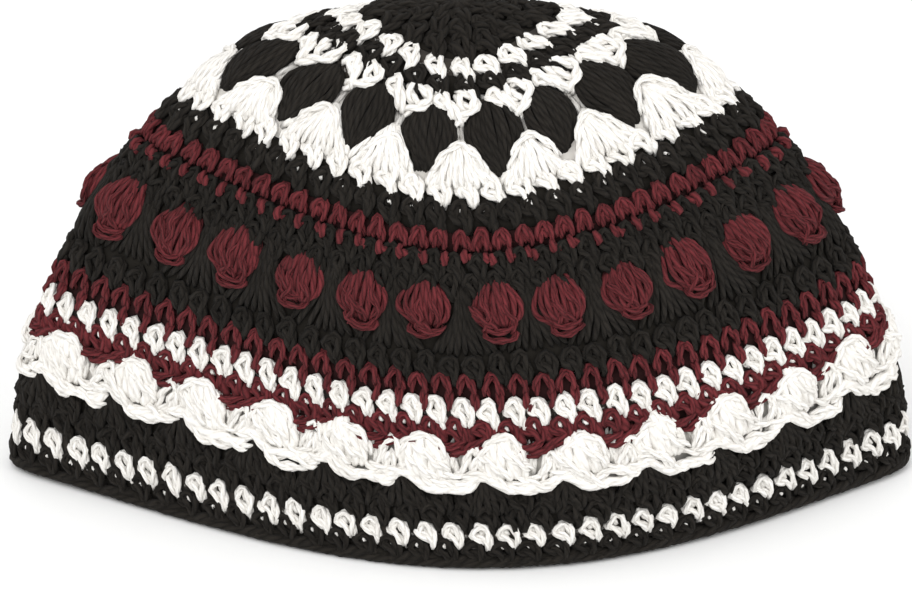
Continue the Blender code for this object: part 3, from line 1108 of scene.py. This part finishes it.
@dataclass
class PeakRound(Piece):
    """The black round under the shells, with a peak between each two."""

    row: Row = Row(75, 0.896, 0.036, -0.05)
    upper: Row = Row(75, 0.868, 0.034, 0.20)
    peaks: Row = Row(25, 0.862, 0.060, 0.30)
    stations: tuple[Station, ...] = (
        Station(0.03, 0.72, -2.2), Station(0.07, 0.56, -0.9), Station(0.16, 0.26, -0.3),
        Station(0.27, -0.06, -0.4), Station(0.34, -0.36, -0.8), Station(0.38, -0.56, -2.2),
    )
    layer: Layer = Layer(7, Yarn(1.0, 11))

    def stitch(self) -> None:
        """Works both rows, the peaks and the inner side."""
        for row in (self.upper, self.row):
            self.worker.work(row, GROUND_YARN, *SHORT_STITCH)
            self.worker.work(row, HOLLOW_YARN, HOLLOW)
        self.worker.gather(self.peaks, self.stations, self.layer)
        self.worker.back(self.row)


@dataclass
class RimChain(Piece):
    """The black edge: two strands twisted around each other, and a smoother one under them."""

    row: Row = Row(75, 0.982, 0.020, only=(0,))
    inside: Row = Row(75, 0.972, 0.020)
    yarn: Yarn = Yarn(1.35, sides=6)
    under_yarn: Yarn = Yarn(1.2, sides=6)
    inside_yarn: Yarn = Yarn(0.9, 8, 5)
    samples_per_stitch: int = 8
    twist: float = 0.20
    twist_out_mm: float = 0.7
    out_mm: float = -1.7
    under: tuple[float, float] = (-0.30, -1.2)
    under_wave: tuple[float, float] = (0.04, 0.1)
    under_waves: int = 8

    def stitch(self) -> None:
        """Works the strands, which meet at the back, and the inner side."""
        stitches = self.row.count
        turn = np.linspace(0.5, 1.5, stitches * self.samples_per_stitch + 1) * stitches
        for side in (0.0, math.pi):
            angle = turn * math.pi + side
            line = np.column_stack([turn, self.twist * np.sin(angle),
                                    self.twist_out_mm * np.cos(angle) + self.out_mm])
            self.worker.lay(self.row, self.yarn, line[None])
        wave = np.sin(turn * 2 * self.under_waves * math.pi / stitches)
        line = np.column_stack([turn, np.outer(wave, self.under_wave) + self.under])
        self.worker.lay(self.row, self.under_yarn, line[None])
        self.worker.work(self.inside, self.inside_yarn, BACK_BAR)


@dataclass(frozen=True)
class SoftStage:
    """A pale floor, soft light and the camera of the photo's view."""

    elevation: float = math.radians(27.7)
    pixels_per_metre: float = 3670.0
    image_width: float = 912.0
    sensor_mm: float = 36.0
    distance: float = 2.6
    far_end: float = 50.0
    aim: tuple[float, float, float] = (-0.001, 0.0, 0.0511)
    floor_size: float = 12.0
    floor_colour: Colour = (0.92, 0.92, 0.915, 1.0)
    floor_roughness: float = 0.9
    surrounding_light: float = 0.92

    def build(self) -> None:
        """Adds the floor, the lights and the camera."""
        self._floor()
        self._lights()
        self._camera()

    def _floor(self) -> None:
        """Adds a wide plain floor."""
        bpy.ops.object.select_all(action="DESELECT")
        bpy.ops.mesh.primitive_plane_add(size=self.floor_size, location=(0.0, 0.0, 0.0))
        floor = bpy.context.object
        floor.name = "floor"
        material = bpy.data.materials.new("pale_floor")
        material.use_nodes = True
        shader = material.node_tree.nodes["Principled BSDF"]
        shader.inputs["Base Color"].default_value = self.floor_colour
        shader.inputs["Roughness"].default_value = self.floor_roughness
        floor.data.materials.append(material)

    def _lights(self) -> None:
        """Adds a large soft key light, a fill and an even surrounding light."""
        world = bpy.data.worlds.new("studio")
        world.use_nodes = True
        background = world.node_tree.nodes["Background"]
        background.inputs["Color"].default_value = (1.0, 1.0, 1.0, 1.0)
        background.inputs["Strength"].default_value = self.surrounding_light
        bpy.context.scene.world = world
        bpy.context.scene.view_settings.view_transform = "Standard"
        for name, place, size, power in (
            ("key", (-0.5, -1.2, 1.5), 1.2, 16.0),
            ("fill", (1.2, -0.9, 0.9), 1.2, 6.0),
        ):
            light = bpy.data.lights.new(name, "AREA")
            light.size = size
            light.energy = power
            self._aim(bpy.data.objects.new(name, light), Vector(place))

    def _camera(self) -> None:
        """Adds the camera, level with the photo's view."""
        camera = bpy.data.cameras.new("camera")
        camera.sensor_width = self.sensor_mm
        camera.lens = self.distance * self.sensor_mm * self.pixels_per_metre / self.image_width
        camera.clip_end = self.far_end
        eye = bpy.data.objects.new("camera", camera)
        away = Vector((0.0, -math.cos(self.elevation), math.sin(self.elevation)))
        self._aim(eye, Vector(self.aim) + away * self.distance)
        bpy.context.scene.camera = eye

    def _aim(self, item: bpy.types.Object, place: Vector) -> None:
        """Puts a light or the camera in its place and turns it to the cap.

        Args:
            item: the light or camera.
            place: where it stands.
        """
        item.location = place
        item.rotation_euler = (Vector(self.aim) - place).to_track_quat("-Z", "Y").to_euler()
        bpy.context.scene.collection.objects.link(item)


def pieces() -> list[Piece]:
    """Lists the cap's pieces.

    Returns:
        The rounds from the crown down to the rim, then the bobbles.
    """
    first_white = Row(22, 0.127, 0.031)
    first_black = Row(27, 0.158, 0.032, 0.2)
    second_black = Row(56, 0.374, 0.040)
    first_maroon = Row(70, 0.421, 0.032)
    second_maroon = Row(75, 0.668, 0.034, 0.28)
    second_white = Row(75, 0.711, 0.040, 0.05)
    third_maroon = Row(75, 0.744, 0.033, -0.20)
    maroon_filling = Row(75, 0.752, 0.030, 0.30)
    braid = Wave(25, 0.016, 0.93)
    upper_braid = Row(75, 0.761, 0.020, 0.6, braid)
    lower_braid = Row(75, 0.768, 0.020, 0.1, braid)
    third_white = Row(75, 0.930, 0.036, -0.30)
    last_black = Row(75, 0.959, 0.030, -0.55)
    made: list[Piece] = [
        CrownDisc("crown", BLACK, "crown_disc", 0.004, 0.111),
        ShortRound("white_first", WHITE, "white_round_1", 0.112, 0.142, first_white, 1.3,
                   extras=(Extra(first_black, SPECK, 0.7),)),
        ShortRound("black_first", BLACK, "black_round_1", 0.142, 0.176, first_black, 1.4,
                   extras=(Extra(first_black, HOLLOW, 1.2),)),
        PairRound("white_pairs", WHITE, "white_pair_round", 0.186, 0.214),
        PuffRound("black_puffs", BLACK, "puff_round", 0.216, 0.224),
        FanRound("white_fans", WHITE, "fan_round", 0.226, 0.345, extras=(Extra(second_black, SPECK, 0.65),)),
        ShortRound("black_second", BLACK, "black_round_2", 0.346, 0.411, second_black, 1.55,
                   extras=(Extra(second_black, HOLLOW, 1.3),)),
        ShortRound("maroon_first", MAROON, "maroon_round_1", 0.412, 0.445, first_maroon, 1.2, (OPEN_ARCH,),
                   (Extra(first_maroon, INNER_ARCH, 0.95), Extra(first_maroon, DOT, 1.55, 2))),
        BobbleGround("bobble_ground", BLACK, "bobble_band", 0.446, 0.661),
        ShortRound("maroon_second", MAROON, "maroon_round_2", 0.662, 0.703, second_maroon, 1.15, (OPEN_ARCH,),
                   (Extra(second_maroon, DROP, 1.25, 2),)),
        ShortRound("white_second", WHITE, "white_round_2", 0.704, 0.738, second_white, 1.3,
                   extras=(Extra(third_maroon, SPECK, 0.6), Extra(second_white, HOLLOW, 0.9))),
        ShortRound("maroon_third", MAROON, "maroon_round_3", 0.739, 0.782, third_maroon, 1.28,
                   extras=(Extra(maroon_filling, FILL, 1.4),
                           Extra(lower_braid, SLANT, 1.25, 2), Extra(upper_braid, SLANT, 1.15, 2))),
        ShellRound("white_shells", WHITE, "shell_round", 0.782, 0.850),
        PeakRound("black_third", BLACK, "black_round_3", 0.857, 0.920),
        ShortRound("white_third", WHITE, "white_round_3", 0.922, 0.956, third_white, 1.15,
                   extras=(Extra(last_black, SPECK, 0.6), Extra(third_white, HOLLOW, 0.9))),
        ShortRound("black_fourth", BLACK, "black_round_4", 0.956, 0.982, last_black, 1.3,
                   extras=(Extra(last_black, HOLLOW, 1.1),)),
        RimChain("rim", BLACK, "rim_chain", 0.980, 0.990),
    ]
    for index in range(BOBBLES):
        label = f"bobble_{index + 1:02}"
        row = Row(BOBBLES, 0.545, 0.100, 0.5, only=(index,))
        made.append(Bobble("maroon_" + label, MAROON, label, 0.0, 0.0, row))
    return made


def main() -> None:
    """Builds every piece in order, then the stage."""
    logging.basicConfig(level=logging.INFO, format="%(message)s")
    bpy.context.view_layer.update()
    fabric = Fabric(DomeShape())
    materials = {finish.slot: finish.material() for finish in (BLACK, WHITE, MAROON)}
    total = 0
    for piece in pieces():
        made = piece.make(fabric, materials[piece.finish.slot])
        triangles = len(made.data.loops) - 2 * len(made.data.polygons)
        total += triangles
        LOG.info("%s: %d triangles", piece.name, triangles)
    LOG.info("the whole cap: %d triangles", total)
    SoftStage().build()


if __name__ == "__main__":
    main()
